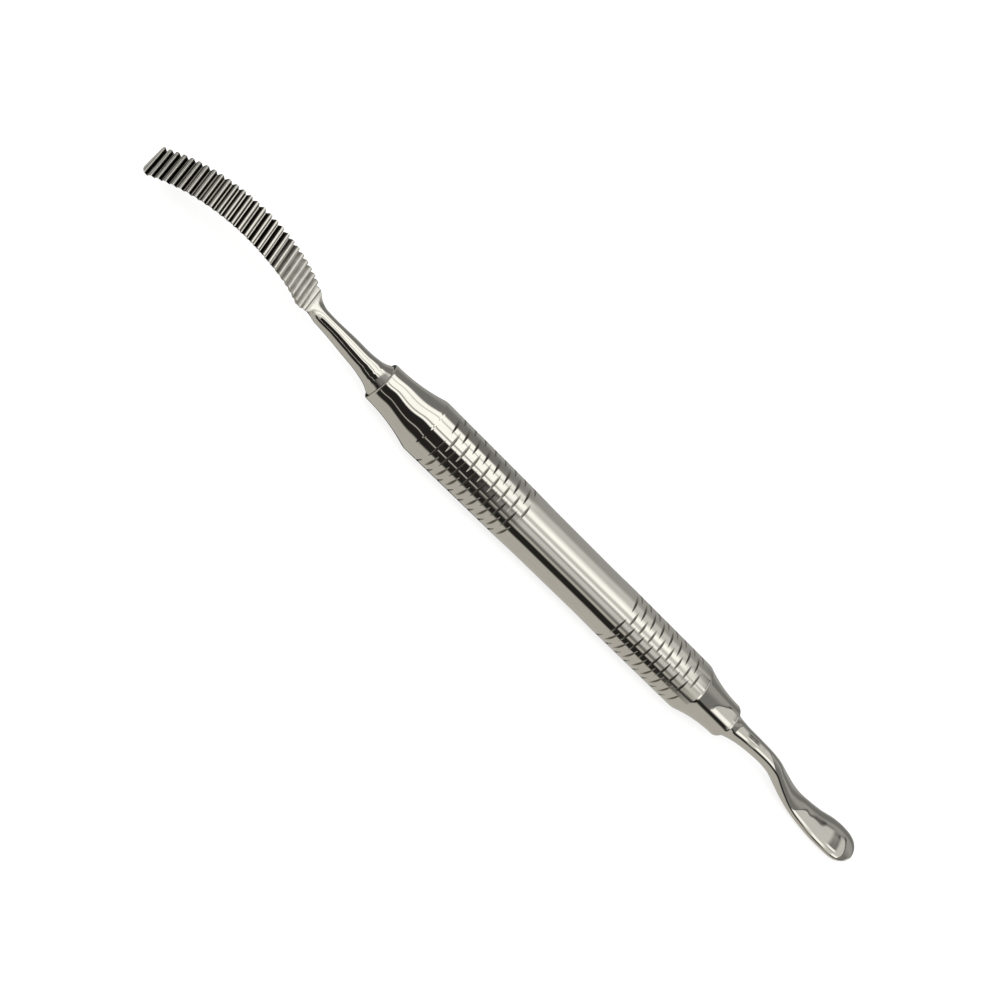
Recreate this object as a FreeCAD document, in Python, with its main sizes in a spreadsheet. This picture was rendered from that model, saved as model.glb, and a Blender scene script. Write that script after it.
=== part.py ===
"""Bone file, a double-ended hand instrument of polished stainless steel, in millimetres.

Three pieces: a hollow round handle, a file end with a bowed toothed blade, and a spoon end.
Each end is forged in one piece with a tang, which sits in the bore of the handle's nose, while the
end's root is seated on the face of the nose.

Every piece is modelled about the handle's axis, which is X, with the middle of the handle at the
origin, the file end towards -X and the plane in which both ends are bent upright. The three are
then moved together so that the origin is at the middle of the underside of the whole. Z is up. The
instrument lies on its handle and on the underside of the spoon's leaf, which is level with it, while
the toothed blade stands clear.
"""
import FreeCAD, Part
import math
import os

import Sketcher

SLITS_IN_ROW = 8
SIDES = 6
LEAF_SECTIONS = 6

SIZES = {
    # handle
    "handle_length": 87.2,
    "grip_radius": 5.0,
    "waist_length": 14.0,
    "waist_blend": 6.0,
    "waist_relief": 0.08,
    "nose_length": 10.0,
    "nose_radius": 3.5,
    "nose_edge": 0.3,
    "shoulder_round": 2.5,
    "wall": 1.0,
    "socket_length": 8.0,
    "socket_taper": 3.0,
    "tang_radius": 1.5,
    "tang_length": 7.5,
    "tang_clearance": 0.03,
    # grip slits
    "slit_width": 0.42,
    "slit_depth": 0.38,
    "slit_pitch": 2.37,
    "slit_start": 12.8,
    "slit_turn": -8.0,
    # toothed blade
    "bow_reach": 29.75,
    "neck_before_bow": 10.55,
    "bow_top": 7.0,
    "bow_radius": 22.75,
    "root_angle": 37.0,
    "tip_angle": 46.4,
    "blade_width": 5.1,
    "blade_thickness": 1.8,
    "blade_thinning": 0.45,
    "tip_corner": 1.0,
    "root_corner": 1.5,
    "back_round": 0.6,
    # teeth
    "tooth_pitch": 1.25,
    "tooth_depth": 0.75,
    "tooth_land": 0.1,
    "tooth_steep": 0.35,
    "tooth_floor": 0.1,
    "tooth_skew": 4.5,
    # spoon leaf
    "leaf_reach": 36.1,
    "neck_before_leaf": 11.2,
    "leaf_round": 6.4,
    "leaf_half_width": 3.6,
    "leaf_half_depth": 1.38,
}

# Stations along the shank: distance from the handle, height above its axis, half width, half depth
FILE_NECK = [
    (0.0, 0.0, 3.0, 3.0),
    (1.3, 0.05, 2.36, 2.36),
    (3.2, 0.2, 1.95, 1.95),
    (7.5, 0.6, 1.66, 1.66),
    (12.6, 0.95, 1.38, 1.38),
    (15.2, 1.3, 1.65, 1.2),
    (17.2, 2.0, 2.1, 0.92),
    (19.2, 2.95, 2.2, 0.6),
]
# The same along the spoon's neck, but the height is a share of the leaf's drop
SPOON_NECK = [
    (0.0, 0.0, 3.0, 3.0),
    (1.3, 0.015, 2.45, 2.45),
    (3.6, 0.085, 1.98, 1.98),
    (7.8, 0.18, 1.68, 1.68),
    (12.0, 0.165, 1.6, 1.56),
    (14.2, 0.055, 1.65, 1.5),
    (16.8, -0.207, 1.82, 1.42),
    (19.5, -0.483, 2.02, 1.34),
    (22.3, -0.74, 2.2, 1.27),
    (24.9, -0.91, 2.42, 1.27),
]
# Stations from the neck to the leaf's widest place: distance before it, share of the leaf's width
LEAF_START = [(7.6, 0.8), (4.9, 0.89), (2.3, 0.97)]

# Another reach spreads a neck's stations, so that the last one keeps its place in the blade or before the leaf
FILE_NECK_SPREAD = "((sizes.bow_reach - sizes.neck_before_bow) / sizes.file_neck_7_along)"
SPOON_NECK_SPREAD = "((sizes.leaf_reach - sizes.neck_before_leaf) / sizes.spoon_neck_9_along)"

LEAF_MIDDLE = "sizes.handle_length / 2 + sizes.leaf_reach"
LEAF_DROP = "(sizes.grip_radius - sizes.leaf_half_depth)"

doc = FreeCAD.newDocument("bone_file")
sizes = doc.addObject("Spreadsheet::Sheet", "sizes")


def fill_sheet():
    """Writes each driving dimension to a cell with an alias."""
    cells = dict(SIZES)
    words = ("along", "up", "wide", "deep")
    tables = (("file_neck", FILE_NECK, words), ("spoon_neck", SPOON_NECK, words),
              ("leaf_start", LEAF_START, ("before", "share")))
    for table, stations, names in tables:
        for number, station in enumerate(stations):
            for name, number_value in zip(names, station):
                cells["%s_%d_%s" % (table, number, name)] = number_value
    for row, (alias, number_value) in enumerate(cells.items(), start=1):
        sizes.set("A%d" % row, alias)
        sizes.set("B%d" % row, str(number_value))
        sizes.setAlias("B%d" % row, alias)
    doc.recompute()


def value(expression):
    """The number that an expression on the sheet's cells stands for."""
    result = sizes.evalExpression(expression)
    return float(getattr(result, "Value", result))


def plane(body, role):
    return next(item for item in body.Origin.OriginFeatures if item.Role == role)


def new_body(name):
    body = doc.addObject("PartDesign::Body", name)
    body.Label = name
    return body


def new_sketch(body, name, role, offset=("0", "0", "0"), turn=None):
    """A sketch on one of the body's own planes, moved in that plane's axes by three expressions."""
    sketch = body.newObject("Sketcher::SketchObject", name)
    sketch.AttachmentSupport = (plane(body, role), [""])
    sketch.MapMode = "FlatFace"
    place = FreeCAD.Vector(*(value(part) for part in offset))
    sketch.AttachmentOffset = FreeCAD.Placement(place, turn or FreeCAD.Rotation())
    for axis, part in zip("xyz", offset):
        sketch.setExpression("AttachmentOffset.Base." + axis, part)
    return sketch


def bind(sketch, constraint, expression):
    number = sketch.addConstraint(constraint)
    sketch.setExpression("Constraints[%d]" % number, expression)


def pin_point(sketch, edge, end, across, up):
    """Ties one end of an edge to its two coordinates, each an expression."""
    bind(sketch, Sketcher.Constraint("DistanceX", -1, 1, edge, end, value(across)), across)
    bind(sketch, Sketcher.Constraint("DistanceY", -1, 1, edge, end, value(up)), up)


def arc_between(start, end, radius, left):
    """The arc of less than a half turn from start to end, whose centre lies left or right of the chord."""
    chord = end - start
    middle = (start + end) * 0.5
    normal = FreeCAD.Vector(-chord.y, chord.x, 0).normalize() * (1 if left else -1)
    rise = math.sqrt(max(radius ** 2 - chord.Length ** 2 / 4, 0.0))
    centre = middle + normal * rise
    first = math.atan2(start.y - centre.y, start.x - centre.x)
    last = math.atan2(end.y - centre.y, end.x - centre.x)
    circle = Part.Circle(centre, FreeCAD.Vector(0, 0, 1), radius)
    if left:
        return Part.ArcOfCircle(circle, first, last), 1, 2
    return Part.ArcOfCircle(circle, last, first), 2, 1


def outline(sketch, corners):
    """A closed outline. A corner is (across, up), or (across, up, radius, side) where an arc leaves it."""
    points = [FreeCAD.Vector(value(corner[0]), value(corner[1]), 0) for corner in corners]
    ends = []
    for number, corner in enumerate(corners):
        start, end = points[number], points[(number + 1) % len(points)]
        if len(corner) == 4:
            arc, first, last = arc_between(start, end, value(corner[2]), corner[3] == "left")
            edge = sketch.addGeometry(arc)
            bind(sketch, Sketcher.Constraint("Radius", edge, value(corner[2])), corner[2])
        else:
            edge = sketch.addGeometry(Part.LineSegment(start, end))
            first, last = 1, 2
        pin_point(sketch, edge, first, corner[0], corner[1])
        ends.append((edge, first, last))
    for number, (edge, first, last) in enumerate(ends):
        following = ends[(number + 1) % len(ends)]
        sketch.addConstraint(Sketcher.Constraint("Coincident", edge, last, following[0], following[1]))


def ring(sketch, radius):
    """A circle about the sketch's origin."""
    centre = FreeCAD.Vector(0, 0, 0)
    edge = sketch.addGeometry(Part.Circle(centre, FreeCAD.Vector(0, 0, 1), value(radius)))
    sketch.addConstraint(Sketcher.Constraint("Coincident", edge, 3, -1, 1))
    bind(sketch, Sketcher.Constraint("Radius", edge, value(radius)), radius)


def oval(sketch, half_width, half_depth):
    """An ellipse about the sketch's origin, wider than it is deep."""
    wide, deep = value(half_width), value(half_depth)
    centre = FreeCAD.Vector(0, 0, 0)
    edge = sketch.addGeometry(Part.Ellipse(FreeCAD.Vector(wide, 0, 0), FreeCAD.Vector(0, deep, 0), centre))
    sketch.exposeInternalGeometry(edge)
    sketch.addConstraint(Sketcher.Constraint("Coincident", edge, 3, -1, 1))
    sketch.addConstraint(Sketcher.Constraint("Horizontal", edge + 1))
    bind(sketch, Sketcher.Constraint("Distance", edge + 1, 2 * wide), "2 * (%s)" % half_width)
    bind(sketch, Sketcher.Constraint("Distance", edge + 2, 2 * deep), "2 * (%s)" % half_depth)


def edges_where(feature, test):
    """Names of the edges whose middle point passes the test."""
    names = []
    for number, edge in enumerate(feature.Shape.Edges, start=1):
        middle = edge.valueAt((edge.FirstParameter + edge.LastParameter) / 2)
        if test(edge, middle):
            names.append("Edge%d" % number)
    return names


def fillet(body, name, base, edges, radius):
    feature = body.newObject("PartDesign::Fillet", name)
    feature.Base = (base, edges)
    feature.setExpression("Radius", radius)
    doc.recompute()
    return feature


def cut_through(body, name, sketch, width=None):
    """A pocket to both sides of its sketch, through everything or of one width."""
    volume = body.Shape.Volume
    pocket = body.newObject("PartDesign::Pocket", name)
    pocket.Profile = sketch
    pocket.SideType = "Symmetric"
    pocket.Type = "Length" if width else "ThroughAll"
    if width:
        pocket.setExpression("Length", width)
    doc.recompute()
    if not pocket.Shape.Volume < volume:
        raise SystemExit(name + " cuts nothing")
    return pocket


def handle_profile():
    """Half section of the handle from one nose to the other and back along the bore."""
    half = "sizes.handle_length / 2"
    grip = "sizes.grip_radius"
    nose = "sizes.nose_radius"
    shoulder = "(%s - sizes.nose_length)" % half
    waist = "(sizes.grip_radius - sizes.waist_relief)"
    waist_end = "(sizes.waist_length / 2)"
    blend_end = "(sizes.waist_length / 2 + sizes.waist_blend)"
    run = "(sizes.nose_length - sizes.nose_edge)"
    rise = "(sizes.grip_radius - sizes.nose_radius)"
    nose_arc = "(%s ^ 2 + %s ^ 2) / (2 * %s)" % (run, rise, rise)
    waist_arc = "(sizes.waist_blend ^ 2 + sizes.waist_relief ^ 2) / (2 * sizes.waist_relief)"
    socket = "sizes.tang_radius + sizes.tang_clearance"
    socket_end = "(%s - sizes.socket_length)" % half
    bore = "sizes.grip_radius - sizes.wall"
    bore_end = "(%s - sizes.socket_length - sizes.socket_taper)" % half
    return [
        ("-" + half, socket),
        ("-" + half, nose + " - sizes.nose_edge"),
        ("-%s + sizes.nose_edge" % half, nose, nose_arc, "left"),
        ("-" + shoulder, grip),
        ("-" + blend_end, grip, waist_arc, "left"),
        ("-" + waist_end, waist),
        (waist_end, waist, waist_arc, "left"),
        (blend_end, grip),
        (shoulder, grip, nose_arc, "left"),
        (half + " - sizes.nose_edge", nose),
        (half, nose + " - sizes.nose_edge"),
        (half, socket),
        (socket_end, socket),
        (bore_end, bore),
        ("-" + bore_end, bore),
        ("-" + socket_end, socket),
    ]


def slit_row(body, name, shift, turn):
    """Slits round the handle: a flat chord on each of six sides, repeated along both grips.

    A cut leaves a thin hexagon standing in the round bar, so each slit runs out to a point.
    """
    first = "-sizes.handle_length / 2 + sizes.slit_start + " + shift
    sketch = new_sketch(body, name + "_sketch", "YZ_Plane", ("0", "0", first))
    ring(sketch, "sizes.grip_radius * 1.2")
    corner = "(sizes.grip_radius - sizes.slit_depth) / cos(180 deg / %d)" % SIDES
    corners = []
    for side in range(SIDES):
        angle = "((sizes.slit_turn + %s + %s) * 1 deg)" % (turn, 360 * (side + 0.5) / SIDES)
        corners.append(("-%s * sin(%s)" % (corner, angle), "%s * cos(%s)" % (corner, angle)))
    outline(sketch, corners)
    pocket = cut_through(body, name, sketch, "sizes.slit_width")
    rows = body.newObject("PartDesign::LinearPattern", name + "_rows")
    rows.Originals = [pocket]
    rows.Direction = (plane(body, "X_Axis"), [""])
    rows.Mode = "Spacing"
    rows.Occurrences = SLITS_IN_ROW
    rows.setExpression("Offset", "sizes.slit_pitch")
    rows.Direction2 = (plane(body, "X_Axis"), [""])
    rows.Mode2 = "Extent"
    rows.Occurrences2 = 2
    between = "sizes.handle_length - 2 * sizes.slit_start - %s * sizes.slit_pitch"
    rows.setExpression("Length2", between % (SLITS_IN_ROW - 0.5))
    body.Tip = rows
    doc.recompute()


def make_handle():
    body = new_body("handle")
    sketch = new_sketch(body, "handle_profile", "XZ_Plane")
    outline(sketch, handle_profile())
    bar = body.newObject("PartDesign::Revolution", "handle_bar")
    bar.Profile = sketch
    bar.ReferenceAxis = (sketch, ["H_Axis"])
    doc.recompute()
    shoulder = value("sizes.handle_length / 2 - sizes.nose_length")
    grip = value("sizes.grip_radius")

    def on_shoulder(edge, middle):
        return abs(abs(middle.x) - shoulder) < 0.01 and abs(math.hypot(middle.y, middle.z) - grip) < 0.01

    fillet(body, "handle_shoulders", bar, edges_where(bar, on_shoulder), "sizes.shoulder_round")
    slit_row(body, "slits", "0", "0")
    slit_row(body, "slits_between", "sizes.slit_pitch / 2", "180 / %d" % SIDES)
    return body


def blade_profile():
    """Side view of the blade: two arcs of the bow, joined by straight ends square to the bow."""
    middle = "-(sizes.handle_length / 2 + sizes.bow_reach)"
    back_middle = "(%s - sizes.blade_thinning)" % middle
    centre = "(sizes.bow_top - sizes.bow_radius)"
    back = "(sizes.bow_radius - sizes.blade_thickness)"
    root, tip = "(sizes.root_angle * 1 deg)", "(sizes.tip_angle * 1 deg)"
    return [
        ("%s + sizes.bow_radius * sin(%s)" % (middle, root), "%s + sizes.bow_radius * cos(%s)" % (centre, root),
         "sizes.bow_radius", "left"),
        ("%s - sizes.bow_radius * sin(%s)" % (middle, tip), "%s + sizes.bow_radius * cos(%s)" % (centre, tip)),
        ("%s - %s * sin(%s)" % (back_middle, back, tip), "%s + %s * cos(%s)" % (centre, back, tip), back, "right"),
        ("%s + %s * sin(%s)" % (back_middle, back, root), "%s + %s * cos(%s)" % (centre, back, root)),
    ]


def blade_blank(body):
    """The blade before its teeth are cut: bowed, with rounded corners and a rounded back."""
    sketch = new_sketch(body, "blade_profile", "XZ_Plane")
    outline(sketch, blade_profile())
    blank = body.newObject("PartDesign::Pad", "blade_blank")
    blank.Profile = sketch
    blank.SideType = "Symmetric"
    blank.setExpression("Length", "sizes.blade_width")
    doc.recompute()
    bow_x = -value("sizes.handle_length / 2 + sizes.bow_reach")
    bow_z = value("sizes.bow_top - sizes.bow_radius")
    side = value("sizes.blade_width / 2")

    def corner(edge, middle, towards_root):
        across = abs(abs(middle.y) - side) < 0.01 and edge.Curve.TypeId == "Part::GeomLine"
        return across and edge.Length > 0.1 and (middle.x > bow_x) == towards_root

    tips = edges_where(blank, lambda edge, middle: corner(edge, middle, False))
    blank = fillet(body, "blade_tip_corners", blank, tips, "sizes.tip_corner")
    roots = edges_where(blank, lambda edge, middle: corner(edge, middle, True))
    blank = fillet(body, "blade_root_corners", blank, roots, "sizes.root_corner")
    halfway = value("sizes.bow_radius - sizes.blade_thickness / 2")

    def on_back(edge, middle):
        long_or_end = edge.Length > value("sizes.blade_thickness") * 1.5
        return long_or_end and math.hypot(middle.x - bow_x, middle.z - bow_z) < halfway

    return fillet(body, "blade_back_edges", blank, edges_where(blank, on_back), "sizes.back_round")


def cut_teeth(body):
    """One groove at the top of the bow, turned by the skew and repeated about the centre of the bow."""
    middle = "-(sizes.handle_length / 2 + sizes.bow_reach)"
    centre = new_sketch(body, "bow_centre", "XZ_Plane", (middle, "sizes.bow_top - sizes.bow_radius", "0"))
    skew = FreeCAD.Rotation(FreeCAD.Vector(0, 1, 0), value("sizes.tooth_skew"))
    sketch = new_sketch(body, "groove_profile", "XZ_Plane", (middle, "sizes.bow_top", "0"), skew)
    half = "((sizes.tooth_pitch - sizes.tooth_land) / 2)"
    outline(sketch, [
        ("-" + half, "sizes.tooth_depth"),
        ("-" + half, "0"),
        ("-%s + sizes.tooth_steep" % half, "-sizes.tooth_depth"),
        ("-%s + sizes.tooth_steep + sizes.tooth_floor" % half, "-sizes.tooth_depth"),
        (half, "0"),
        (half, "sizes.tooth_depth"),
    ])
    groove = cut_through(body, "groove", sketch)
    step = math.degrees(value("sizes.tooth_pitch / sizes.bow_radius"))
    for name, angle, backwards in (("to_tip", "sizes.tip_angle", False), ("to_root", "sizes.root_angle", True)):
        teeth = body.newObject("PartDesign::PolarPattern", "teeth_" + name)
        teeth.Originals = [groove]
        teeth.Axis = (centre, ["N_Axis"])
        teeth.Reversed = backwards
        teeth.Mode = "Spacing"
        teeth.Occurrences = 1 + int(value(angle) / step)
        teeth.setExpression("Offset", "sizes.tooth_pitch / sizes.bow_radius * 180 deg / pi")
        body.Tip = teeth
        doc.recompute()


def neck_sections(body, neck, stations, side, spread, rise="1"):
    """One section for each station, square to the neck's line. Side is -1 for the file end."""
    count = len(stations)
    sections = []
    for number in range(count):
        cell = "sizes.%s_%d_" % (neck, number)
        before, after = max(number - 1, 0), min(number + 1, count - 1)
        run = value("(sizes.%s_%d_along - sizes.%s_%d_along) * %s" % (neck, after, neck, before, spread))
        climb = value("(sizes.%s_%d_up - sizes.%s_%d_up) * %s" % (neck, after, neck, before, rise))
        slope = 0.0 if number == 0 else side * math.degrees(math.atan2(climb, run))
        along = "%d * (sizes.handle_length / 2 + %salong * %s)" % (side, cell, spread)
        turn = FreeCAD.Rotation(FreeCAD.Vector(1, 0, 0), -slope)
        up = "%sup * %s" % (cell, rise)
        sketch = new_sketch(body, "%s_%d" % (neck, number), "YZ_Plane", ("0", up, along), turn)
        if value(cell + "wide") > value(cell + "deep"):
            oval(sketch, cell + "wide", cell + "deep")
        else:
            ring(sketch, cell + "wide")
        sections.append(sketch)
    return sections


def leaf_section(body, name, along, width, depth):
    sketch = new_sketch(body, name, "YZ_Plane", ("0", "-" + LEAF_DROP, LEAF_MIDDLE + along))
    oval(sketch, "sizes.leaf_half_width * " + width, "sizes.leaf_half_depth * " + depth)
    return sketch


def leaf_sections(body):
    """Sections of the leaf, widening from the neck and then closing along half an ellipse."""
    sections = []
    for number in range(len(LEAF_START)):
        cell = "sizes.leaf_start_%d_" % number
        sections.append(leaf_section(body, "leaf_start_%d" % number, " - %sbefore" % cell, cell + "share", "1"))
    for number in range(LEAF_SECTIONS + 1):
        angle = "(%s * 1 deg)" % (86.0 * number / LEAF_SECTIONS)
        close = "cos(%s)" % angle
        sections.append(leaf_section(body, "leaf_end_%d" % number, " + sizes.leaf_round * sin(%s)" % angle, close, close))
    return sections


def loft(body, name, sections):
    doc.recompute()
    feature = body.newObject("PartDesign::AdditiveLoft", name)
    feature.Profile = sections[0]
    feature.Sections = sections[1:]
    doc.recompute()
    return feature


def add_tang(body, side):
    """The round tang behind the root, which fills the bore of the nose."""
    sketch = new_sketch(body, "tang_circle", "YZ_Plane", ("0", "0", "%d * sizes.handle_length / 2" % side))
    ring(sketch, "sizes.tang_radius")
    tang = body.newObject("PartDesign::Pad", "tang")
    tang.Profile = sketch
    tang.Reversed = side > 0
    tang.setExpression("Length", "sizes.tang_length")
    doc.recompute()


def make_file_end():
    body = new_body("file_end")
    blade_blank(body)
    loft(body, "shank", neck_sections(body, "file_neck", FILE_NECK, -1, FILE_NECK_SPREAD)[::-1])
    cut_teeth(body)
    add_tang(body, -1)
    return body


def make_spoon_end():
    body = new_body("spoon_end")
    neck = neck_sections(body, "spoon_neck", SPOON_NECK, 1, SPOON_NECK_SPREAD, LEAF_DROP)
    loft(body, "neck_and_leaf", neck + leaf_sections(body))
    add_tang(body, 1)
    return body


def lay_down(bodies):
    """Puts the origin at the middle of the underside of the whole."""
    points = [point for body in bodies for point in body.Shape.tessellate(0.02)[0]]
    ends = [point.x for point in points]
    place = FreeCAD.Vector(-(min(ends) + max(ends)) / 2, 0, -min(point.z for point in points))
    for body in bodies:
        body.Placement = FreeCAD.Placement(place, FreeCAD.Rotation())
    print("the handle's middle is at", place)


def check(bodies):
    doc.recompute()
    for item in doc.Objects:
        if "Invalid" in item.State or "Error" in item.State:
            raise SystemExit("%s failed: %s" % (item.Name, item.State))
    for body in bodies:
        shape = body.Shape
        if shape.isNull() or not shape.isValid() or len(shape.Solids) != 1:
            raise SystemExit(body.Label + " is not one valid solid")


fill_sheet()
pieces = [make_handle(), make_file_end(), make_spoon_end()]
check(pieces)
lay_down(pieces)
check(pieces)
os.makedirs("parts", exist_ok=True)
for piece in pieces:
    piece.Shape.exportStep("parts/%s.step" % piece.Label)
    print(piece.Label, "%.1f mm3" % piece.Shape.Volume)
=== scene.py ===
import math

import bpy
import numpy as np
from mathutils import Matrix, Vector


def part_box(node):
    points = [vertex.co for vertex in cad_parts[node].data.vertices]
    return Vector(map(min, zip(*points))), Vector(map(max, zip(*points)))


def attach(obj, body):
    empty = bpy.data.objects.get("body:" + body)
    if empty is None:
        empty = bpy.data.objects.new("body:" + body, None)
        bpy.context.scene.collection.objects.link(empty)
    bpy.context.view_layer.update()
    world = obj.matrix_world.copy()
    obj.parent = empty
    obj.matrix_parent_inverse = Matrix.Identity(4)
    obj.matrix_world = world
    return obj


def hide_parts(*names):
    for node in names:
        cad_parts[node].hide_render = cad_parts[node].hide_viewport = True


# Bone file: a hollow round handle with slit grips, a bowed toothed blade and a spoon-shaped end.
# Shapes are worked out in millimetres about the handle's middle, with the axis along X, and are
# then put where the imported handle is.

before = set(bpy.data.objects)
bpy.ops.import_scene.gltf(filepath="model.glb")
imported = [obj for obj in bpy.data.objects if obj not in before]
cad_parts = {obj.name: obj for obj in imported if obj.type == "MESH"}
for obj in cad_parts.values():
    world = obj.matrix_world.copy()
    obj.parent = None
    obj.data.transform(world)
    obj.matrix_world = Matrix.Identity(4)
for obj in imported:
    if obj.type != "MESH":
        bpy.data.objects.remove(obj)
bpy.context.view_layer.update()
low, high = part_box("handle")
HANDLE_MIDDLE = (np.array(low) + np.array(high)) / 2 * 1000.0

HALF_HANDLE = 43.6
GRIP_RADIUS = 5.0
WAIST_RADIUS = 4.92
NOSE_RADIUS = 3.5
NOSE_LENGTH = 10.0
NOSE_EDGE = 0.3
SOCKET_RADIUS = 1.53
TANG_RADIUS = 1.5
TANG_LENGTH = 7.5
SLIT_DEPTH = 0.38
SLIT_HALF_WIDTH = 0.23
SLIT_SPACING = 1.185
SLIT_START = 12.8
SLIT_TURN = -8.0
SLITS_IN_GRIP = 16
SLIT_REACH = 22.5
SLIT_STEP = 60.0
SOCKET_END = 35.6
HOLLOW_END = 32.6
HOLLOW_RADIUS = 4.0

BOW_REACH = 29.75
BOW_TOP = 7.0
BOW_RADIUS = 22.75
BLADE_WIDTH = 5.1
BLADE_THICKNESS = 1.8
BLADE_THINNING = 0.45
BLADE_SPREAD = 0.25
TIP_SPREAD = 0.2
BLADE_SHIFT = 0.27
TIP_SHIFT = 0.22
ROOT_NARROWING = 0.42
TIP_CORNER = 0.8
BACK_CORNER = 0.6
SIDE_LEAN = 0.6
CHAMFER = 0.06
GROOVE_INSET = 0.25
TOOTH_PITCH = 1.25
TOOTH_SKEW = math.tan(math.radians(4.5))
ROOT_ANGLE = math.radians(36.4)
TIP_ANGLE = math.radians(46.4)

LEAF_MIDDLE = 37.2
LEAF_ROUND = 5.3
LEAF_HALF_WIDTH = 3.6
LEAF_HALF_DEPTH = 1.38
LEAF_BLUNTNESS = 0.84
LEAF_LIFT = 0.6
LEAF_LEAN = 0.3
LEAF_END_LEAN = 0.35

STEEL = (0.80, 0.785, 0.74)
# Colour of the painted shade in the file's grooves, mixed with some dirt.
GROOVE_SHADE_AND_DIRT = (0.05, 0.047, 0.038)
SLIT_SHADE = (0.1, 0.096, 0.085)
DULLING = 0.62
POLISH = 0.05
SHARP_EDGE = math.radians(34.0)

FLOOR_HALF_SIDE = 4.0
CAMERA_DISTANCE = 0.2131
CAMERA_LENS = 47.4
CAMERA_AIM = (-0.01393, -0.000162, 0.0049)
CAMERA_RIGHT = (0.6699, 0.43169, 0.60407)
CAMERA_BACK = (-0.34202, -0.54274, 0.76711)


def smooth_step(start, end, value):
    """0 before start, 1 after end, and between them three squares less two cubes of the share of the way."""
    share = np.clip((value - start) / (end - start), 0.0, 1.0)
    return share * share * (3.0 - 2.0 * share)


def through(stations, at):
    """A cubic through each station's values, with the slope at a station taken from its neighbours."""
    stations = np.array(stations, float)
    knots, values = stations[:, 0], stations[:, 1:]
    slopes = np.gradient(values, knots, axis=0)
    cell = np.clip(np.searchsorted(knots, at, side="right") - 1, 0, len(knots) - 2)
    width = (knots[cell + 1] - knots[cell])[:, None]
    share = (at - knots[cell])[:, None] / width
    left, right = values[cell], values[cell + 1]
    square, cube = share ** 2, share ** 3
    return ((2 * cube - 3 * square + 1) * left + (cube - 2 * square + share) * width * slopes[cell]
            + (3 * square - 2 * cube) * right + (cube - square) * width * slopes[cell + 1])


def closed_faces(rows, columns, ring):
    """Corner numbers of the faces of a grid that closes round its columns, and its rows too for a ring."""
    row = np.arange(rows if ring else rows - 1)[:, None]
    column = np.arange(columns)[None, :]
    after, beside = (row + 1) % rows, (column + 1) % columns
    corners = (row * columns + column, row * columns + beside, after * columns + beside, after * columns + column)
    return np.stack(np.broadcast_arrays(*corners), axis=-1).reshape(-1, 4)


def make_piece(name, grid, layers, material, ring=False):
    """A closed mesh from rows of points in millimetres; ends that don't meet are closed to a middle point.

    Faces point outwards: the sum of each face's corner volumes about the origin is made positive.
    """
    rows, columns = grid.shape[:2]
    points = grid.reshape(-1, 3)
    faces = closed_faces(rows, columns, ring)
    if not ring:
        middles = np.stack([grid[0].mean(axis=0), grid[-1].mean(axis=0)])
        column = np.arange(columns)
        beside = (column + 1) % columns
        last = (rows - 1) * columns
        size = len(points)
        first_cap = np.stack([np.full(columns, size), beside, column], axis=-1)
        last_cap = np.stack([np.full(columns, size + 1), last + column, last + beside], axis=-1)
        points = np.concatenate([points, middles])
        caps = np.concatenate([first_cap, last_cap])
    else:
        caps = np.zeros((0, 3), int)
    thirds = np.concatenate([faces[:, [0, 1, 2]], faces[:, [0, 2, 3]], caps])
    a, b, c = points[thirds[:, 0]], points[thirds[:, 1]], points[thirds[:, 2]]
    if np.einsum("ij,ij->i", a, np.cross(b, c)).sum() < 0:
        faces, caps = faces[:, ::-1], caps[:, ::-1]
    mesh = bpy.data.meshes.new(name)
    mesh.from_pydata(((points + HANDLE_MIDDLE) * 0.001).tolist(), [], faces.tolist() + caps.tolist())
    for label, values in layers.items():
        flat = np.concatenate([values.reshape(-1), np.zeros(len(points) - values.size)])
        mesh.attributes.new(label, "FLOAT", "POINT").data.foreach_set("value", flat.astype(np.float32))
    mesh.shade_smooth()
    mesh.set_sharp_from_angle(angle=SHARP_EDGE)
    mesh.materials.append(material)
    piece = bpy.data.objects.new(name, mesh)
    bpy.context.scene.collection.objects.link(piece)
    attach(piece, "root")
    return piece


def outer_radius(x):
    """Radius of the handle: a concave arc on each nose, met smoothly by the grip, and a shallow waist.

    The arc starts level at the nose's end and rises to the grip over the nose's length.
    """
    run = NOSE_LENGTH - NOSE_EDGE
    rise = GRIP_RADIUS - NOSE_RADIUS
    arc = (run ** 2 + rise ** 2) / (2.0 * rise)
    along = np.clip(HALF_HANDLE - NOSE_EDGE - np.abs(x), 0.0, 1.3 * run)
    nose = NOSE_RADIUS + arc - np.sqrt(arc ** 2 - along ** 2)
    blend = np.clip(0.12 - np.abs(nose - GRIP_RADIUS), 0.0, None) / 0.12
    body = np.minimum(nose, GRIP_RADIUS) - blend ** 2 * 0.03
    return body - (GRIP_RADIUS - WAIST_RADIUS) * (1.0 - smooth_step(7.0, 13.0, np.abs(x)))


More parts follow.
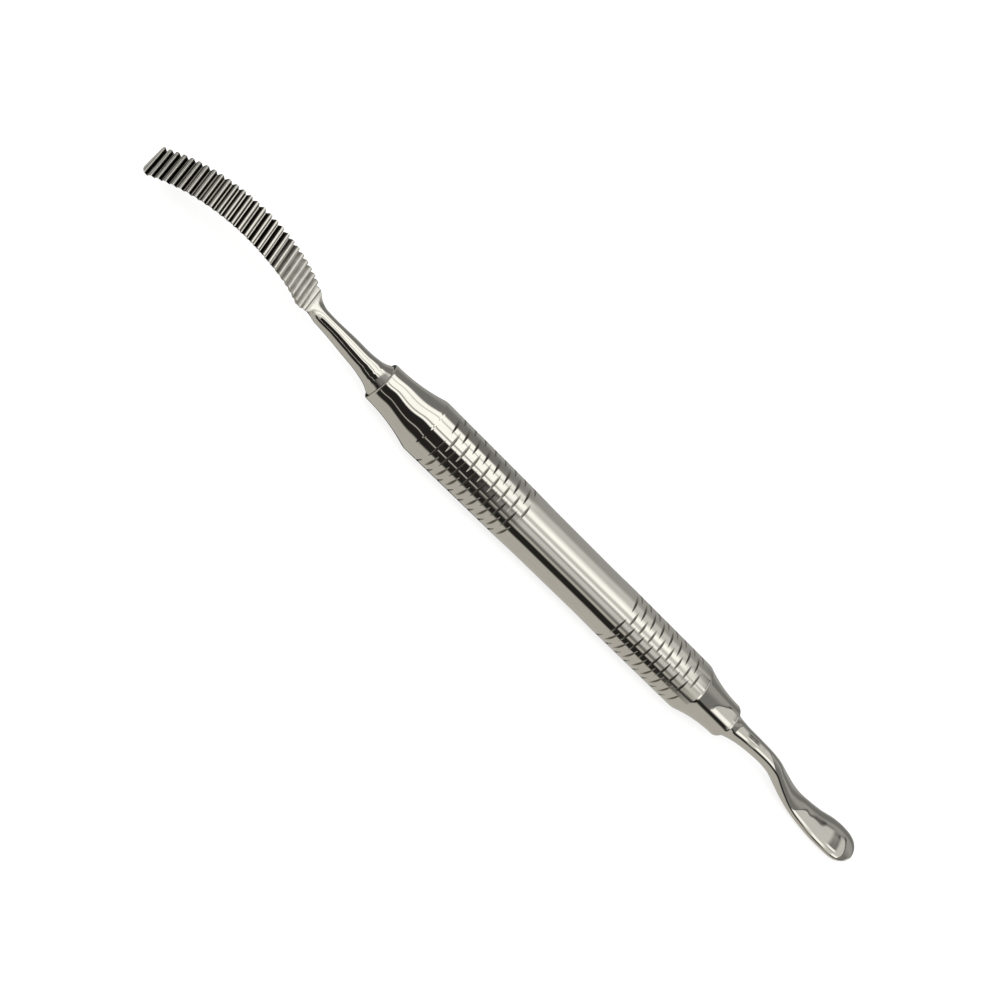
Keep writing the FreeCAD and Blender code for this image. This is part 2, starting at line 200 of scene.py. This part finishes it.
def handle_surface():
    """The handle turned about its axis, with lens-shaped slits sunk into both grips.

    A slit is a flat chord across one side of the bar. Its depth falls from its middle to nothing at its
    reach in degrees, its width narrows in the same way, and it is round at the bottom.
    """
    columns = 192
    turn = np.radians(SLIT_TURN + 7.5 + 360.0 / columns * np.arange(columns))[None, :]
    across = np.array([-1.0, -0.94, -0.74, -0.42, 0.0, 0.42, 0.74, 0.94, 1.0])
    sink = np.array([0.0, 0.16, 0.72, 0.94, 1.0, 0.94, 0.72, 0.16, 0.0])
    first = np.array([
        -HALF_HANDLE + SLIT_START, HALF_HANDLE - SLIT_START - (SLITS_IN_GRIP - 1) * SLIT_SPACING])
    middles = (first[:, None] + SLIT_SPACING * np.arange(SLITS_IN_GRIP)).reshape(-1)
    kind = np.tile(np.arange(SLITS_IN_GRIP) % 2, 2)
    between = middles + SLIT_SPACING / 2
    shoulder = HALF_HANDLE - NOSE_LENGTH
    rounded = np.radians(np.linspace(0.0, 90.0, 7))
    edge_x = HALF_HANDLE - NOSE_EDGE * (1.0 - np.cos(rounded[::-1]))
    edge_radius = NOSE_RADIUS - NOSE_EDGE * (1.0 - np.sin(rounded[::-1]))
    plain = np.concatenate([
        np.linspace(shoulder - 1.0, shoulder + 0.8, 22), np.linspace(shoulder + 1.2, HALF_HANDLE - 0.5, 20)])
    plain = np.concatenate([-plain[::-1], np.linspace(-12.4, 12.4, 24), plain])
    x = np.concatenate([
        -edge_x[::-1], plain, between[:SLITS_IN_GRIP - 1], between[SLITS_IN_GRIP:-1],
        np.repeat(middles, len(across)), edge_x])
    radius = np.concatenate([edge_radius[::-1], outer_radius(x[7:-7]), edge_radius])
    spread, depth, side = (np.zeros(len(x)) for _ in range(3))
    slits = slice(len(x) - 7 - len(middles) * len(across), len(x) - 7)
    spread[slits] = np.tile(across, len(middles))
    depth[slits] = np.tile(sink, len(middles))
    side[slits] = np.repeat(kind, len(across))
    order = np.argsort(x + 1e-3 * spread, kind="stable")
    x, radius, spread, depth, side = (row[order][:, None] for row in (x, radius, spread, depth, side))
    half_step = SLIT_STEP / 2
    off = np.abs((np.degrees(turn) - SLIT_TURN - half_step * side + half_step) % SLIT_STEP - half_step)
    lens = np.clip(1.0 - (off / SLIT_REACH) ** 2, 0.0, 1.0)
    chord = (GRIP_RADIUS - SLIT_DEPTH) / np.cos(np.radians(off))
    cut = np.clip(GRIP_RADIUS - chord, 0.0, None) * depth
    x = x + spread * (0.012 + SLIT_HALF_WIDTH * lens)
    radius = radius - cut
    inside = np.array([
        (HALF_HANDLE, SOCKET_RADIUS), (SOCKET_END, SOCKET_RADIUS), (HOLLOW_END, HOLLOW_RADIUS),
        (-HOLLOW_END, HOLLOW_RADIUS), (-SOCKET_END, SOCKET_RADIUS), (-HALF_HANDLE, SOCKET_RADIUS)])
    within = (len(inside), columns)
    x = np.concatenate([x, np.broadcast_to(inside[:, :1], within)])
    radius = np.concatenate([radius, np.broadcast_to(inside[:, 1:], within)])
    cut = np.concatenate([cut, np.zeros(within)])
    grid = np.stack(np.broadcast_arrays(x, -radius * np.sin(turn), radius * np.cos(turn)), axis=-1)
    # The cut layer is the share of a slit's depth; the steel material paints shade into the slits from it.
    return grid, {"cut": cut / SLIT_DEPTH}


def swept(side, along, up, turn, across, raised, shift=0.0):
    """Sections carried along a path in the upright plane.

    A path point lies along from the handle's end and up from its axis. A section point lies across
    the plane, raised square to the path by the path's turn, and shifted along the path.
    """
    along, up, turn = along[:, None], up[:, None], turn[:, None]
    x = side * (HALF_HANDLE + along - raised * np.sin(turn) + shift * np.cos(turn))
    z = up + raised * np.cos(turn) + shift * np.sin(turn)
    return np.stack(np.broadcast_arrays(x, across, z), axis=-1)


def round_section(columns):
    """The unit circle from its upper right, counterclockwise."""
    angle = np.radians(45.0 + 360.0 / columns * np.arange(columns))
    return np.cos(angle), np.sin(angle)


def blade_section(columns, half_width, top, bottom, edge):
    """A flat top with a small chamfer, sides that lean in and half an ellipse for the back."""
    quarter = columns // 4
    share, whole = np.arange(quarter) / quarter, np.arange(quarter) / (quarter - 1)
    back = np.radians(180.0 * share - 90.0)
    level = np.ones(quarter)
    side_top = top - CHAMFER
    across = np.concatenate(np.broadcast_arrays(
        (1.0 - 2.0 * whole) * (half_width - CHAMFER), SIDE_LEAN * share - half_width,
        (half_width - SIDE_LEAN) * np.sin(back), half_width - SIDE_LEAN + SIDE_LEAN * whole), axis=1)
    raised = np.concatenate(np.broadcast_arrays(
        top * level, side_top + (edge - side_top) * share, edge - (edge - bottom) * np.cos(back),
        edge + (side_top - edge) * whole), axis=1)
    return across, raised


FILE_NECK = [
    (0.0, 0.0, 3.0, 3.0), (1.3, 0.05, 2.36, 2.36), (3.2, 0.2, 1.95, 1.95), (7.5, 0.6, 1.66, 1.66),
    (12.6, 0.95, 1.38, 1.38), (14.2, 1.1, 1.46, 1.3), (15.6, 1.34, 1.74, 1.17)]
SPOON_NECK = [
    (0.0, 0.0, 3.0, 3.0), (1.3, 0.054, 2.45, 2.45), (3.6, 0.308, 1.98, 1.98), (7.8, 0.652, 1.68, 1.68),
    (12.0, 0.597, 1.6, 1.56), (14.2, 0.2, 1.65, 1.5), (16.8, -0.75, 1.82, 1.42), (19.5, -1.748, 2.02, 1.34),
    (22.3, -2.68, 2.2, 1.27), (24.9, -3.3, 2.38, 1.27), (28.5, -3.6, 2.72, 1.38), (31.2, -3.62, 3.02, 1.38),
    (33.8, -3.59, 3.34, 1.38), (35.6, -3.5, 3.53, 1.38), (37.2, -3.36, 3.6, 1.38)]


def rounded_end(distance, radius):
    """How far a corner of this radius draws a side in, at a distance before its end."""
    short = radius - np.clip(distance, 0.0, radius)
    return radius - np.sqrt(np.maximum(radius ** 2 - short ** 2, 0.0))


def file_surface():
    """Tang, shank and toothed blade as one skin.

    The shank's round sections turn into the blade's block where the bow starts. On the blade the path
    follows the middle of two arcs, and each row of points runs along one tooth, turned by the skew.
    A tooth is a place along the bow, its depth and its painted shade: a narrow crest, a steep flank, a narrow
    floor and a long flank that rises to the next crest. The painted shade darkens both flanks and leaves crest
    and floor light.
    """
    columns = 128
    # Each profile point: place along the tooth, depth, and painted shade, where 1 is darkest.
    profile = np.array([
        (-0.61, 0.0, 0.0), (-0.52, 0.015, 0.0), (-0.43, 0.08, 0.25), (-0.35, 0.24, 0.85), (-0.29, 0.46, 1.0),
        (-0.23, 0.62, 0.7), (-0.17, 0.68, 0.0), (-0.1, 0.68, 0.1), (-0.02, 0.6, 0.8), (0.09, 0.44, 1.0),
        (0.2, 0.28, 1.0), (0.32, 0.13, 0.9), (0.43, 0.04, 0.3), (0.53, 0.008, 0.0)])
    teeth = np.arange(11, -15, -1)
    chance = np.random.default_rng(11)
    uneven = 1.0 + 0.05 * np.clip(chance.standard_normal(len(teeth)), -2.0, 2.0)
    stagger = 0.02 * np.clip(chance.standard_normal(len(teeth)), -2.0, 2.0)
    angle = ((teeth * TOOTH_PITCH + stagger)[:, None] + profile[None, ::-1, 0]).reshape(-1) / BOW_RADIUS
    depth = (uneven[:, None] * profile[None, ::-1, 1]).reshape(-1)
    before = np.linspace(ROOT_ANGLE, angle[0], 4)[:-1]
    after = np.linspace(angle[-1], -TIP_ANGLE, 10)[1:]
    angle = np.concatenate([before, angle, after])
    depth = np.concatenate([np.zeros(len(before)), depth, np.zeros(len(after))])
    dark = np.concatenate([np.zeros(len(before)), np.tile(profile[::-1, 2], len(teeth)), np.zeros(len(after))])
    back_radius = BOW_RADIUS - BLADE_THICKNESS - BLADE_THINNING * np.sin(angle)
    path_radius = (BOW_RADIUS + back_radius) / 2
    half_depth = (BOW_RADIUS - back_radius) / 2
    to_tip = (angle + TIP_ANGLE) * path_radius
    from_root = (ROOT_ANGLE - angle) * path_radius
    half_width = BLADE_WIDTH / 2 + BLADE_SPREAD + TIP_SPREAD * smooth_step(-0.6, -0.1, -angle)
    half_width = half_width - rounded_end(to_tip, TIP_CORNER)
    half_width = half_width - ROOT_NARROWING * (1.0 - smooth_step(0.0, 1.5, from_root))
    bottom = rounded_end(to_tip, BACK_CORNER) - half_depth
    blade = np.stack([
        BOW_REACH - path_radius * np.sin(angle), BOW_TOP - BOW_RADIUS + path_radius * np.cos(angle),
        half_width, half_depth, bottom, angle], axis=-1)

    root = blade[0]
    neck_at = np.concatenate([
        np.linspace(0.1, 3.0, 14), np.linspace(3.3, 12.2, 24), np.linspace(12.5, root[0], 28)[:-1]])
    neck = through(FILE_NECK + [tuple(root[:4])], neck_at)
    shank = np.column_stack([neck_at, neck, -neck[:, 2]])
    slope = np.arctan2(np.gradient(shank[:, 1]), np.gradient(shank[:, 0]))
    slope = slope + (angle[0] - slope) * smooth_step(15.4, root[0], shank[:, 0])
    shank = np.concatenate([shank, slope[:, None]], axis=-1)
    tang = np.array([
        (-TANG_LENGTH, 0.0, TANG_RADIUS, TANG_RADIUS, -TANG_RADIUS, 0.0),
        (0.0, 0.0, TANG_RADIUS, TANG_RADIUS, -TANG_RADIUS, 0.0), (0.0, 0.0, 2.82, 2.82, -2.82, 0.0)])
    path = np.concatenate([tang, shank, blade])
    on_blade = slice(len(path) - len(blade), None)
    along, up, half_width, top, bottom, turn = path.T
    square = smooth_step(13.4, root[0], along)
    square[on_blade] = 1.0
    cut = np.zeros(len(path))
    cut[on_blade] = depth
    wide, high, deep = (half_width - GROOVE_INSET * cut)[:, None], (top - cut)[:, None], bottom[:, None]
    edge = np.minimum((bottom + 0.5 * (top - bottom))[:, None], high - 0.1)
    circle_across, circle_up = round_section(columns)
    block_across, block_up = blade_section(columns, wide, high, deep, edge)
    round_across = circle_across * wide
    round_up = (high + deep) / 2 + circle_up * (high - deep) / 2
    across = round_across + (block_across - round_across) * square[:, None]
    raised = round_up + (block_up - round_up) * square[:, None]
    skewed = np.zeros(len(path))
    skewed[on_blade] = smooth_step(0.0, 1.2, from_root) * smooth_step(0.0, 0.8, to_tip)
    shift = TOOTH_SKEW * across * skewed[:, None]
    lean = GROOVE_INSET * cut - skewed * (BLADE_SHIFT + TIP_SHIFT * smooth_step(-0.6, -0.1, -turn))
    # On the blade the cut layer now carries each tooth's painted shade instead of its depth.
    cut[on_blade] = dark
    filed = smooth_step(15.6, root[0] + 0.6, along)
    filed[on_blade] = smooth_step(-0.2, 1.0, from_root)
    satin = smooth_step(15.2, root[0], along)
    satin[on_blade] = smooth_step(0.08, 0.38, angle)
    layers = {
        "cut": np.broadcast_to(cut[:, None], across.shape) * (raised > edge - 0.01),
        "filed": np.broadcast_to(filed[:, None], across.shape),
        "satin": np.broadcast_to(satin[:, None], across.shape)}
    return swept(-1, along, up, turn, across + lean[:, None], raised, shift), layers


def spoon_surface():
    """Tang, round neck and leaf as one skin of elliptical sections.

    Past the leaf's widest place its outline and its depth close together along a blunt half ellipse. Its
    tip lifts a little and leans a little to one side.
    """
    columns = 128
    angle = np.radians(360.0 / columns * np.arange(columns))[None, :]
    at = np.concatenate([np.linspace(0.12, 3.0, 14), np.linspace(3.3, LEAF_MIDDLE, 110)])
    neck = through(SPOON_NECK, at)
    slope = np.arctan2(np.gradient(neck[:, 0]), np.gradient(at))
    close = np.radians(np.linspace(0.0, 89.0, 40))[1:]
    path = np.concatenate([
        np.array([(-TANG_LENGTH, 0.0, TANG_RADIUS, TANG_RADIUS, 0.0), (0.0, 0.0, TANG_RADIUS, TANG_RADIUS, 0.0),
                  (0.0, 0.0, 2.86, 2.86, 0.0)]),
        np.column_stack([at, neck, slope]),
        np.column_stack([
            LEAF_MIDDLE + LEAF_ROUND * np.sin(close), neck[-1, 0] + LEAF_LIFT * np.sin(close),
            LEAF_HALF_WIDTH * np.cos(close) ** LEAF_BLUNTNESS, LEAF_HALF_DEPTH * np.cos(close) ** LEAF_BLUNTNESS,
            np.full(len(close), slope[-1])])])
    along, up, half_width, half_depth, turn = path.T
    end_lean = LEAF_END_LEAN * smooth_step(LEAF_MIDDLE + 1.0, LEAF_MIDDLE + LEAF_ROUND, along)
    lean = LEAF_LEAN * smooth_step(31.0, 36.0, along) + end_lean
    across = half_width[:, None] * np.cos(angle) + lean[:, None]
    raised = half_depth[:, None] * np.sin(angle)
    return swept(1, along, up, turn, across, raised), {}


class Number:
    """A number that varies over a surface. Arithmetic on it adds Math nodes."""

    def __init__(self, nodes, socket):
        self.nodes = nodes
        self.socket = socket

    def math(self, operation, first, second):
        return self.nodes.add("Math", {"operation": operation}, {0: first, 1: second})

    def __add__(self, other):
        return self.math("ADD", self, other)

    __radd__ = __add__

    def __sub__(self, other):
        return self.math("SUBTRACT", self, other)

    def __rsub__(self, other):
        return self.math("SUBTRACT", other, self)

    def __mul__(self, other):
        return self.math("MULTIPLY", self, other)

    __rmul__ = __mul__


class Nodes:
    """The nodes of one material or of the world."""

    def __init__(self, tree):
        self.tree = tree
        tree.nodes.clear()

    def add(self, kind, settings=None, inputs=None, output=0):
        """One node: its settings first, a ramp's stops among them, and then its sockets' values or links."""
        node = self.tree.nodes.new("ShaderNode" + kind)
        for name, setting in (settings or {}).items():
            if name == "stops":
                elements = node.color_ramp.elements
                while len(elements) < len(setting):
                    elements.new(1.0)
                for element, (place, colour) in zip(elements, setting):
                    element.position = place
                    element.color = (*colour, 1.0)
            else:
                setattr(node, name, setting)
        for name, value in (inputs or {}).items():
            if isinstance(value, Number):
                self.tree.links.new(value.socket, node.inputs[name])
            else:
                node.inputs[name].default_value = value
        return Number(self, node.outputs[output]) if node.outputs else None


def ramp(nodes, value, start, end):
    """0 before start and 1 after end, with a soft rise between."""
    return nodes.add(
        "MapRange", {"interpolation_type": "SMOOTHSTEP"}, {"Value": value, "From Min": start, "From Max": end})


def blend(nodes, share, first, second):
    """A mix of two colours: the first where share is 0 and the second where it is 1."""
    return nodes.add("Mix", {"data_type": "RGBA"}, {0: share, 6: first, 7: second}, output=2)


def new_material(name):
    """A new material and its emptied nodes."""
    material = bpy.data.materials.new(name)
    material.use_nodes = True
    return material, Nodes(material.node_tree)


def fine_lines(nodes, place):
    """Noise drawn out into fine lines along the piece."""
    stretched = nodes.add("Mapping", {}, {"Vector": place, "Scale": (150.0, 4200.0, 4200.0)})
    return nodes.add("TexNoise", {}, {"Vector": stretched, "Scale": 1.0, "Detail": 3.0})


def steel_output(nodes, colour, roughness, bump):
    """A metal surface at the end of a material's nodes."""
    shader = nodes.add("BsdfPrincipled", {}, {
        "Base Color": colour, "Metallic": 1.0, "Roughness": roughness, "Normal": bump})
    nodes.add("OutputMaterial", {}, {"Surface": shader})


def polished_steel(name, base, rough, with_cuts):
    """Mirror-polished stainless steel: fine lines along the piece, faint clouds, and painted shade that darkens
    it inside cuts.
    """
    material, nodes = new_material(name)
    place = nodes.add("TexCoord", output="Object")
    lines = fine_lines(nodes, place)
    cloud = nodes.add("TexNoise", {}, {"Vector": place, "Scale": 240.0, "Detail": 3.0})
    share = lines * 0.35 + cloud * 0.3
    if with_cuts:
        cut = nodes.add("Attribute", {"attribute_name": "cut"}, output="Fac")
        # Painted shade: inside the slits the cut share pushes the colour towards the dull tone.
        share = share + cut * 0.9
    dull = tuple(DULLING * part for part in base)
    colour = blend(nodes, share - 0.25, (*base, 1.0), (*dull, 1.0))
    roughness = (lines - 0.5) * 0.07 + (cloud - 0.5) * 0.05 + rough
    if with_cuts:
        # Painted shade: inside the slits the colour goes most of the way to the dark slit shade.
        colour = blend(nodes, cut * 0.6, colour, (*SLIT_SHADE, 1.0))
        roughness = roughness + cut * 0.16
    bump = nodes.add("Bump", {}, {"Strength": 0.05, "Distance": 0.00002, "Height": lines + cloud * 0.6})
    steel_output(nodes, colour, roughness, bump)
    return material


def filed_steel(name, base, rough):
    """Polished shank, and teeth that turn satin towards the blade's root, with painted shade darkening the
    grooves, and scratches.
    """
    material, nodes = new_material(name)
    place = nodes.add("TexCoord", output="Object")
    cut, filed, satin = (
        nodes.add("Attribute", {"attribute_name": layer}, output="Fac") for layer in ("cut", "filed", "satin"))
    lines = fine_lines(nodes, place)
    crosswise = nodes.add("Mapping", {}, {"Vector": place, "Scale": (7000.0, 420.0, 7000.0)})
    scratches = nodes.add("TexNoise", {}, {"Vector": crosswise, "Scale": 1.0, "Detail": 4.0, "Roughness": 0.7})
    cloud = nodes.add("TexNoise", {}, {"Vector": place, "Scale": 500.0, "Detail": 4.0})
    worn = lines * 0.35 + cloud * 0.3 - 0.25
    # Painted shade: the cut layer darkens the teeth's flanks, less towards the satin root; scratches and clouds
    # add dirt to it.
    groove_shade_and_grime = cut * (1.5 - satin * 1.1) + scratches * 0.8 + cloud * 0.6 - 0.86
    dull = tuple(DULLING * part for part in base)
    plain = blend(nodes, worn, (*base, 1.0), (*dull, 1.0))
    rough_face = blend(nodes, groove_shade_and_grime, (*base, 1.0), (*GROOVE_SHADE_AND_DIRT, 1.0))
    colour = blend(nodes, filed, plain, rough_face)
    roughness = (lines - 0.5) * 0.07 + rough + filed * (0.04 + satin * 0.2 + scratches * 0.12)
    height = (1.0 - filed) * lines * 0.2 + filed * (0.25 + satin * 0.75) * (scratches + cloud * 0.8)
    bump = nodes.add("Bump", {}, {"Strength": 0.4, "Distance": 0.00005, "Height": height})
    steel_output(nodes, colour, roughness, bump)
    return material


def background_only(nodes, plain, background):
    """The background's white to the camera and to reflections and glass, and a plain shader to other light."""
    seen = nodes.add("LightPath", output="Is Camera Ray")
    for label in ("Is Glossy Ray", "Is Transmission Ray"):
        seen = seen.math("MAXIMUM", seen, nodes.add("LightPath", output=label))
    return nodes.add("MixShader", {}, {0: seen, 1: plain, 2: background})


def make_floor():
    """A wide pale floor, white to the camera and darker where the instrument shades it."""
    mesh = bpy.data.meshes.new("floor")
    size = FLOOR_HALF_SIDE
    mesh.from_pydata([(-size, -size, 0), (size, -size, 0), (size, size, 0), (-size, size, 0)], [], [(0, 1, 2, 3)])
    material, nodes = new_material("pale_floor")
    plain = nodes.add("BsdfDiffuse", {}, {"Color": (0.85, 0.85, 0.84, 1.0)})
    glow = nodes.add("Emission", {}, {"Color": (1.0, 1.0, 1.0, 1.0), "Strength": 0.72})
    shaded = nodes.add("BsdfDiffuse", {}, {"Color": (0.36, 0.36, 0.355, 1.0)})
    white = nodes.add("AddShader", {}, {0: glow, 1: shaded})
    nodes.add("OutputMaterial", {}, {"Surface": background_only(nodes, plain, white)})
    mesh.materials.append(material)
    floor = bpy.data.objects.new("floor", mesh)
    bpy.context.scene.collection.objects.link(floor)
    floor.visible_glossy = False


# The studio that the polished steel mirrors. Each stretch along the axis is a row of arcs round it, and an arc is
# where it starts in degrees from straight up towards -Y, how softly it starts, and its light. The last one runs
# on to the first.
SOFT_BOX, LIT_WALL, TABLE, GREY_WALL, SHADE, BLACK = 1.25, 0.65, 0.5, 0.36, 0.2, 0.02
ROUND_BLADE = [
    (-140, 6, BLACK), (-117, 4, LIT_WALL), (-92, 6, SHADE), (-52, 6, GREY_WALL), (15, 15, SHADE), (60, 12, BLACK),
    (95, 8, TABLE)]
ROUND_FILE_NOSE = [
    (-170, 8, BLACK), (-128, 5, GREY_WALL), (-90, 12, SHADE), (-41, 4, SOFT_BOX), (-21, 2, LIT_WALL),
    (-16, 2, SOFT_BOX), (12, 2, GREY_WALL), (18, 2, SOFT_BOX), (28, 2, BLACK), (66, 1, TABLE), (70, 1, BLACK),
    (100, 4, TABLE)]
ROUND_BARREL = [
    (-160, 8, GREY_WALL), (-50, 8, LIT_WALL), (-15, 8, SOFT_BOX), (6, 4, LIT_WALL), (20, 4, SOFT_BOX),
    (28, 3, LIT_WALL), (33, 2, GREY_WALL), (38, 3, LIT_WALL), (55, 4, SHADE), (67, 2, TABLE), (76, 2, BLACK),
    (103, 3, TABLE)]
ROUND_SPOON_NOSE = [
    (-160, 8, GREY_WALL), (-90, 10, SHADE), (-56, 5, GREY_WALL), (-40, 2, BLACK), (-31, 3, SHADE),
    (5, 1, SOFT_BOX), (15, 1, GREY_WALL), (21, 3, LIT_WALL), (69, 3, BLACK), (84, 4, TABLE)]
ROUND_LEAF = [
    (-160, 8, GREY_WALL), (-90, 10, SHADE), (-56, 5, GREY_WALL), (-46, 3, SHADE), (-40, 4, LIT_WALL),
    (28, 5, SOFT_BOX), (54, 6, BLACK), (82, 5, TABLE)]
BEYOND_SOFT_BOX = [
    (-160, 8, GREY_WALL), (-90, 10, SHADE), (-56, 5, GREY_WALL), (-15, 15, SHADE), (58, 4, BLACK), (82, 5, TABLE)]
DAYLIGHT, WARM_LIGHT = (1.0, 0.985, 0.94), (1.0, 0.955, 0.87)
RIM_DARK = (0.01, 0.01, 0.01)
SURROUND_RADIUS = 0.5
SURROUND_HALF_LENGTH = 4.0
# Where along the axis, in metres, each of the first four rows of arcs gives way to the next. The fifth gives
# way to the last round the tongue.
GIVES_WAY = [(-0.4, -0.25), (0.14, 0.2), (0.31, 0.36), (0.36, 0.42)]
RIPPLE_DEPTH = 0.016
TONGUE_DEPTH = 0.25
WARM_FROM = 60


def ring_of_light(nodes, angle, arcs):
    """The light round the axis, a little yellow, and yellower low down on the camera's side."""
    stops = []
    before = arcs[-1][2]
    for degrees, softness, light in arcs:
        tint = WARM_LIGHT if degrees > WARM_FROM else DAYLIGHT
        for place, level in ((degrees - softness, before), (degrees + softness, light)):
            stops.append((place / 360.0 + 0.5, tuple(level * part for part in tint)))
        before = light
    return nodes.add("ValToRGB", {"stops": stops}, {0: angle})


def make_surround():
    """A long round tunnel about the instrument, seen only in its reflections.

    The arcs ripple along the stretch that the file's nose mirrors. The soft box ends in a rounded tongue
    towards the spoon, with a dark rim: where it ends moves out as the angle nears the camera's.
    """
    columns = 180
    angle = 2.0 * np.pi * np.arange(columns) / columns
    ends = np.array([-SURROUND_HALF_LENGTH, SURROUND_HALF_LENGTH])[:, None]
    tube = np.stack(np.broadcast_arrays(
        ends, -SURROUND_RADIUS * np.sin(angle), SURROUND_RADIUS * np.cos(angle)), axis=-1)
    mesh = bpy.data.meshes.new("surround")
    mesh.from_pydata(tube.reshape(-1, 3).tolist(), [], closed_faces(2, columns, False).tolist())
    material, nodes = new_material("surround_light")
    place = nodes.add("TexCoord", output="Object")
    along, side, height = (nodes.add("SeparateXYZ", {}, {0: place}, output=label) for label in "XYZ")
    turn = side.math("ARCTAN2", side * -1.0, height) * (0.5 / math.pi) + 0.5
    ripple = nodes.add("Math", {"operation": "SINE"}, {0: along * 30.0 + 0.6})
    turn = turn + ripple * ramp(nodes, along, -0.2, -0.1) * (1.0 - ramp(nodes, along, 0.0, 0.06)) * RIPPLE_DEPTH
    colour = ring_of_light(nodes, turn, ROUND_BLADE)
    following = (ROUND_FILE_NOSE, ROUND_BARREL, ROUND_SPOON_NOSE, ROUND_LEAF)
    for (start, end), arcs in zip(GIVES_WAY, following):
        colour = blend(nodes, ramp(nodes, along, start, end), colour, ring_of_light(nodes, turn, arcs))
    tongue = along - ramp(nodes, turn, 0.355, 0.575) * TONGUE_DEPTH
    beyond = ring_of_light(nodes, turn, BEYOND_SOFT_BOX)
    colour = blend(nodes, ramp(nodes, tongue, 0.445, 0.475), colour, beyond)
    rim = ramp(nodes, tongue, 0.425, 0.445) * (1.0 - ramp(nodes, tongue, 0.455, 0.48))
    rim = rim * ramp(nodes, turn, 0.35, 0.38) * (1.0 - ramp(nodes, turn, 0.6, 0.64)) * 0.8
    colour = blend(nodes, rim, colour, (*RIM_DARK, 1.0))
    nodes.add("OutputMaterial", {}, {"Surface": nodes.add("Emission", {}, {"Color": colour, "Strength": 1.0})})
    mesh.materials.append(material)
    surround = bpy.data.objects.new("surround", mesh)
    bpy.context.scene.collection.objects.link(surround)
    for ray in ("camera", "diffuse", "transmission", "shadow", "volume_scatter"):
        setattr(surround, "visible_" + ray, False)


def light_world():
    """White to the camera and a soft grey light to everything else."""
    world = bpy.data.worlds.new("studio")
    bpy.context.scene.world = world
    world.use_nodes = True
    nodes = Nodes(world.node_tree)
    plain = nodes.add("Background", {}, {"Color": (0.93, 0.93, 0.93, 1.0), "Strength": 0.8})
    white = nodes.add("Background", {}, {"Color": (1.0, 1.0, 1.0, 1.0), "Strength": 1.0})
    nodes.add("OutputWorld", {}, {"Surface": background_only(nodes, plain, white)})


def add_lamp(name, place, size, power):
    """A square soft lamp that looks at the origin."""
    lamp = bpy.data.lights.new(name, "AREA")
    lamp.shape = "SQUARE"
    lamp.size = size
    lamp.energy = power
    holder = bpy.data.objects.new(name, lamp)
    holder.location = place
    holder.rotation_euler = (-Vector(place)).to_track_quat("-Z", "Y").to_euler()
    holder.visible_glossy = False
    bpy.context.scene.collection.objects.link(holder)


def add_camera():
    """The photograph's viewpoint: down from the file end's side, turned so that the axis runs diagonally."""
    right = Vector(CAMERA_RIGHT).normalized()
    back = Vector(CAMERA_BACK).normalized()
    above = back.cross(right)
    right = above.cross(back)
    place = Vector(CAMERA_AIM) + back * CAMERA_DISTANCE
    camera = bpy.data.cameras.new("camera")
    camera.lens = CAMERA_LENS
    camera.sensor_width = 36.0
    camera.clip_start = 0.01
    holder = bpy.data.objects.new("camera", camera)
    holder.matrix_world = Matrix.Translation(place) @ Matrix((right, above, back)).transposed().to_4x4()
    bpy.context.scene.collection.objects.link(holder)
    bpy.context.scene.camera = holder


add_camera()
bpy.context.scene.view_settings.view_transform = "Standard"
light_world()
make_floor()
make_surround()
add_lamp("key_lamp", (-0.5, -0.4, 1.0), 0.9, 9.0)

polished = polished_steel("handle_steel_polished", STEEL, POLISH, True)
grid, layers = handle_surface()
handle = make_piece("turned_handle", grid, layers, polished, ring=True)
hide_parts("handle")
grid, layers = file_surface()
filed = filed_steel("file_steel_filed", STEEL, POLISH)
blade = make_piece("shank_and_blade", grid, layers, filed)
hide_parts("file_end")
grid, layers = spoon_surface()
polished = polished_steel("spoon_steel_polished", STEEL, POLISH, False)
spoon = make_piece("neck_and_leaf", grid, layers, polished)
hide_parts("spoon_end")
